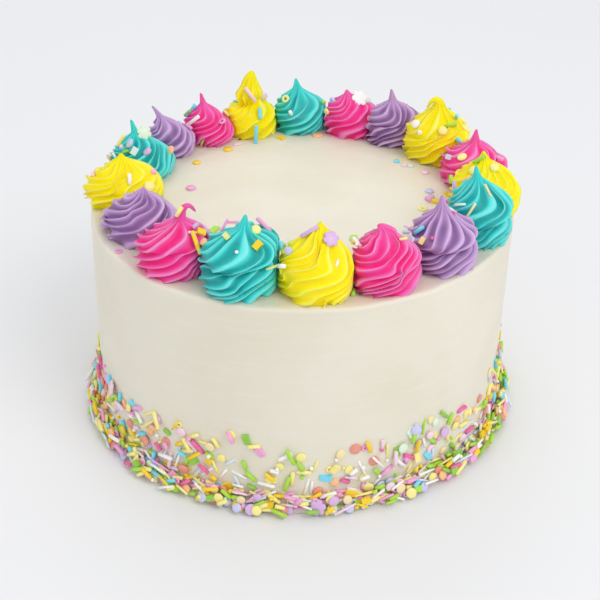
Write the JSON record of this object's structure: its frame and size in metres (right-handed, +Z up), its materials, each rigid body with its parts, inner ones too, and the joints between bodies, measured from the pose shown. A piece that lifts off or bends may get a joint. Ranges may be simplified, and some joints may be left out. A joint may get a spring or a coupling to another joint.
{
  "type": "pinata cake",
  "caption": "Tall round cake in smooth cream frosting, ringed on top with bright piped swirls, with mixed sprinkles pressed round its foot.",
  "frame": {"origin": "on the base, under the middle of the cake", "axes": "+Z up; -Y is the side the picture shows, +X to its right"},
  "size_m": [0.2186, 0.2198, 0.1468],
  "materials": {
    "cream_frosting": "smooth satin buttercream with sprinkles round the foot",
    "pink_frosting": "soft satin piped buttercream",
    "teal_frosting": "soft satin piped buttercream",
    "yellow_frosting": "soft satin piped buttercream",
    "purple_frosting": "soft satin piped buttercream"
  },
  "bodies": {
    "root": {"cake": "cream_frosting", "swirl_01_purple": "purple_frosting", "swirl_02_pink": "pink_frosting", "swirl_03_teal": "teal_frosting", "swirl_04_yellow": "yellow_frosting", "swirl_05_pink": "pink_frosting", "swirl_06_purple": "purple_frosting", "swirl_07_teal": "teal_frosting", "swirl_08_yellow": "yellow_frosting", "swirl_09_pink": "pink_frosting", "swirl_10_yellow": "yellow_frosting", "swirl_11_purple": "purple_frosting", "swirl_12_pink": "pink_frosting", "swirl_13_teal": "teal_frosting", "swirl_14_yellow": "yellow_frosting", "swirl_15_pink": "pink_frosting", "swirl_16_purple": "purple_frosting", "swirl_17_teal": "teal_frosting", "swirl_18_yellow": "yellow_frosting"}
  },
  "joints": []
}
